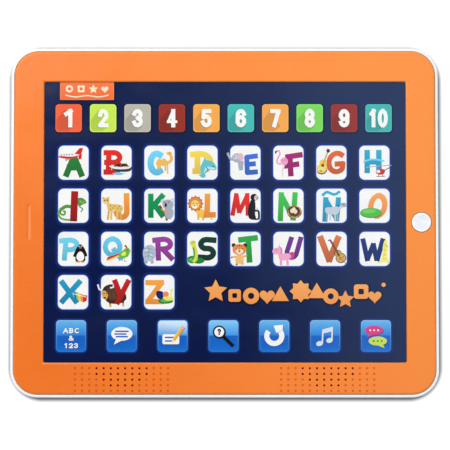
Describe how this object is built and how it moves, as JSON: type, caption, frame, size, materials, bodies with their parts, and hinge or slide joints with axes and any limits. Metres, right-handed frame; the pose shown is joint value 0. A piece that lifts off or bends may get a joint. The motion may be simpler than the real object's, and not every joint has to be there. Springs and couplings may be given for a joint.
{
  "type": "kids toy tablet",
  "caption": "Flat toy learning tablet with an orange bezel, a printed membrane keypad, speaker grilles, a round power button and a battery bay in its white rear shell.",
  "frame": {"origin": "middle of the flat back face, on the surface the tablet lies on", "axes": "+Z out of the keypad, +X towards the power button's side, -Y towards the speaker grilles"},
  "size_m": [0.24, 0.196, 0.0184],
  "materials": {
    "shell_white": "satin moulded ABS",
    "bezel_orange": "semi-gloss moulded ABS",
    "keypad_print": "glossy printed polyester film",
    "membrane_film": "matt polyester film",
    "membrane_silver": "film with printed silver tracks",
    "support_grey": "matt moulded styrene",
    "screw_steel": "zinc plated",
    "button_pearl": "pearl gloss",
    "black_plastic": "matt",
    "circuit_green": "solder mask",
    "black_epoxy": "cured epoxy",
    "capacitor_sleeve": "shrink sleeve",
    "connector_ivory": "moulded nylon",
    "speaker_steel": "pressed, plated",
    "magnet_grey": "zinc plated yoke",
    "cone_paper": "pressed black paper",
    "coil_copper": "enamelled copper",
    "gasket_foam": "closed-cell foam",
    "dust_cloth": "woven gauze",
    "cell_sleeve": "plain shrink sleeve",
    "contact_nickel": "nickel plated",
    "wire_red": "PVC insulation",
    "wire_black": "PVC insulation"
  },
  "bodies": {
    "casing": {"rear_shell": "shell_white", "front_bezel": "bezel_orange", "printed_overlay": "keypad_print", "membrane_upper": "membrane_film", "membrane_spacer": "membrane_film", "membrane_lower": "membrane_silver", "membrane_tail": "membrane_silver", "support_plate": "support_grey", "support_plate_screws": "screw_steel", "case_screws": "screw_steel", "power_switch_body": "black_plastic", "power_switch_dome": "screw_steel", "power_switch_board": "circuit_green", "power_switch_screws": "screw_steel", "main_board": "circuit_green", "main_board_screws": "screw_steel", "sound_chip_blob": "black_epoxy", "filter_capacitors": "capacitor_sleeve", "chip_resistors": "black_plastic", "clock_crystal": "screw_steel", "tail_connector": "connector_ivory", "speaker_frame_left": "speaker_steel", "speaker_frame_right": "speaker_steel", "speaker_magnet_left": "magnet_grey", "speaker_magnet_right": "magnet_grey", "speaker_gasket_left": "gasket_foam", "speaker_gasket_right": "gasket_foam", "speaker_clips": "screw_steel", "speaker_clip_screws": "screw_steel", "grille_cloth_left": "dust_cloth", "grille_cloth_right": "dust_cloth", "battery_cell_1": "cell_sleeve", "battery_cell_2": "cell_sleeve", "battery_cell_3": "cell_sleeve", "battery_bridge_left": "contact_nickel", "battery_bridge_right": "contact_nickel", "battery_terminal_plus": "contact_nickel", "battery_terminal_minus": "contact_nickel", "battery_wire_red": "wire_red", "battery_wire_black": "wire_black", "speaker_wires_left": "wire_red", "speaker_wires_right": "wire_red", "switch_wires": "wire_black"},
    "power_button": {"power_button_cap": "button_pearl", "power_switch_plunger": "black_plastic"},
    "battery_door": {"battery_door": "shell_white", "battery_door_screw": "screw_steel"},
    "speaker_diaphragm_left": {"speaker_cone_left": "cone_paper", "speaker_coil_left": "coil_copper"},
    "speaker_diaphragm_right": {"speaker_cone_right": "cone_paper", "speaker_coil_right": "coil_copper"}
  },
  "joints": [
    {"name": "power_button_press", "type": "slide", "parent": "casing", "child": "power_button", "axis": [0, 0, -1], "range_m": [0, 0.0006], "stiffness_N_per_m": 2000, "deforming": ["power_switch_dome"]},
    {"name": "battery_door_swing", "type": "hinge", "parent": "casing", "child": "battery_door", "pos_m": [0, 0.046, 0], "axis": [1, 0, 0], "range_deg": [0, 60]},
    {"name": "speaker_left_travel", "type": "slide", "parent": "casing", "child": "speaker_diaphragm_left", "axis": [0, 0, 1], "range_m": [-0.0003, 0.0003], "stiffness_N_per_m": 400},
    {"name": "speaker_right_travel", "type": "slide", "parent": "casing", "child": "speaker_diaphragm_right", "axis": [0, 0, 1], "range_m": [-0.0003, 0.0003], "stiffness_N_per_m": 400}
  ]
}
